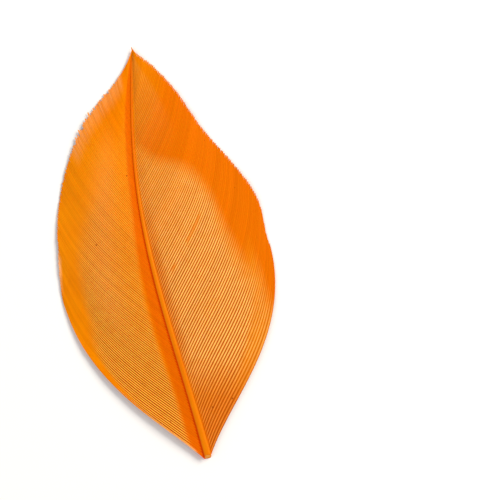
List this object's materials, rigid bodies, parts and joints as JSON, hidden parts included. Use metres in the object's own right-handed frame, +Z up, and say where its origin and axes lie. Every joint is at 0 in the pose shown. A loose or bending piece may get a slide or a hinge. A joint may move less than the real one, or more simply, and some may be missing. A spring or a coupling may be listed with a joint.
{
  "type": "goose quill feather",
  "caption": "Trimmed goose feather dyed orange, with a bowed shaft and an uneven vane of barbs on each side, lying flat with its smooth side up.",
  "frame": {"origin": "middle of the feather's box, on the surface that it lies on", "axes": "+Y from the cut base of the shaft to the tip, +X to the right of the shaft seen from above, +Z up out of the smooth side"},
  "size_m": [0.0306, 0.0598, 0.0025],
  "materials": {
    "quill": "satin dyed keratin",
    "left_barbs": "dyed barbs with a soft sheen",
    "right_barbs": "dyed barbs with a soft sheen"
  },
  "bodies": {
    "root": {"shaft": "quill", "left_vane": "left_barbs", "right_vane": "right_barbs"}
  },
  "joints": []
}
